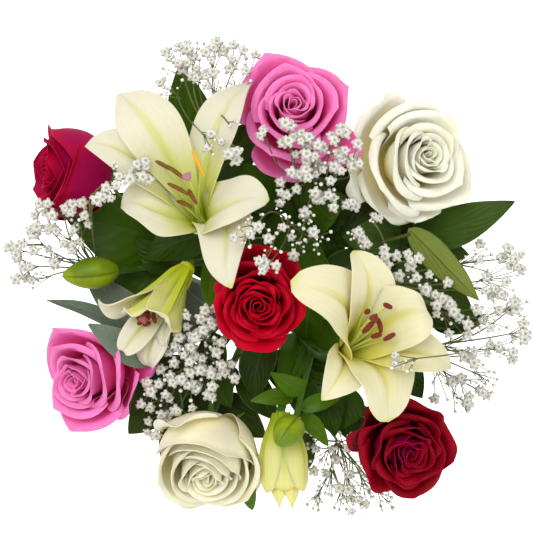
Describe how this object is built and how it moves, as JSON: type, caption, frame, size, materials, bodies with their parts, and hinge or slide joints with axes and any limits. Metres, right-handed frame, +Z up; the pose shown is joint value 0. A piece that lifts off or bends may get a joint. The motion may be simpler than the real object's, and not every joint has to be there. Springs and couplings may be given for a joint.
{
  "type": "mixed flower bouquet",
  "caption": "Round hand-tied bouquet of roses, lilies, baby's breath and mixed leaves, its stems laid in a spiral, tied at the waist and cut level so that it stands.",
  "frame": {"origin": "middle of the centre rose stem's level cut end, on the surface that the bouquet stands on", "axes": "+Z up along the centre stem; +Y towards the top edge of the picture, which looks straight down on the bouquet, and +X towards its right edge"},
  "size_m": [0.3539, 0.3286, 0.3781],
  "materials": {
    "rose_red": "soft matte petals, slightly translucent",
    "rose_stem": "smooth green stem with hip and sepals",
    "rose_pink": "soft matte petals, slightly translucent",
    "rose_white": "soft matte petals, slightly translucent",
    "lily_tepal": "waxy cream tepals, yellow-green at the throat",
    "lily_stamen": "pale green filaments with rust-brown anthers",
    "lily_bud": "waxy yellow-green",
    "lily_stem": "smooth light green stem, leaves and closed buds",
    "salal_leaf": "glossy dark green leaves",
    "ruscus_leaf": "satin green leaves",
    "eucalyptus_leaf": "matte grey-green leaves",
    "babys_breath": "matte white florets on thin green twigs",
    "twine": "matte natural twine"
  },
  "bodies": {
    "root": {"rose_red_centre_bloom": "rose_red", "rose_red_centre_stem": "rose_stem", "rose_red_left_bloom": "rose_red", "rose_red_left_stem": "rose_stem", "rose_red_right_bloom": "rose_red", "rose_red_right_stem": "rose_stem", "rose_pink_top_bloom": "rose_pink", "rose_pink_top_stem": "rose_stem", "rose_pink_left_bloom": "rose_pink", "rose_pink_left_stem": "rose_stem", "rose_white_right_bloom": "rose_white", "rose_white_right_stem": "rose_stem", "rose_white_front_bloom": "rose_white", "rose_white_front_stem": "rose_stem", "lily_left_open_bloom": "lily_tepal", "lily_left_open_stamens": "lily_stamen", "lily_right_open_bloom": "lily_tepal", "lily_right_open_stamens": "lily_stamen", "lily_half_open_bloom": "lily_tepal", "lily_half_open_stamens": "lily_stamen", "lily_closing_bud": "lily_bud", "lily_left_stem": "lily_stem", "lily_right_stem": "lily_stem", "salal_left": "salal_leaf", "salal_top": "salal_leaf", "salal_right": "salal_leaf", "ruscus_right": "ruscus_leaf", "ruscus_front": "ruscus_leaf", "eucalyptus_left": "eucalyptus_leaf", "babys_breath_top_left": "babys_breath", "babys_breath_top": "babys_breath", "babys_breath_centre": "babys_breath", "babys_breath_right": "babys_breath", "babys_breath_far_right": "babys_breath", "babys_breath_front": "babys_breath", "babys_breath_left_front": "babys_breath", "babys_breath_left": "babys_breath", "tie": "twine"}
  },
  "joints": []
}
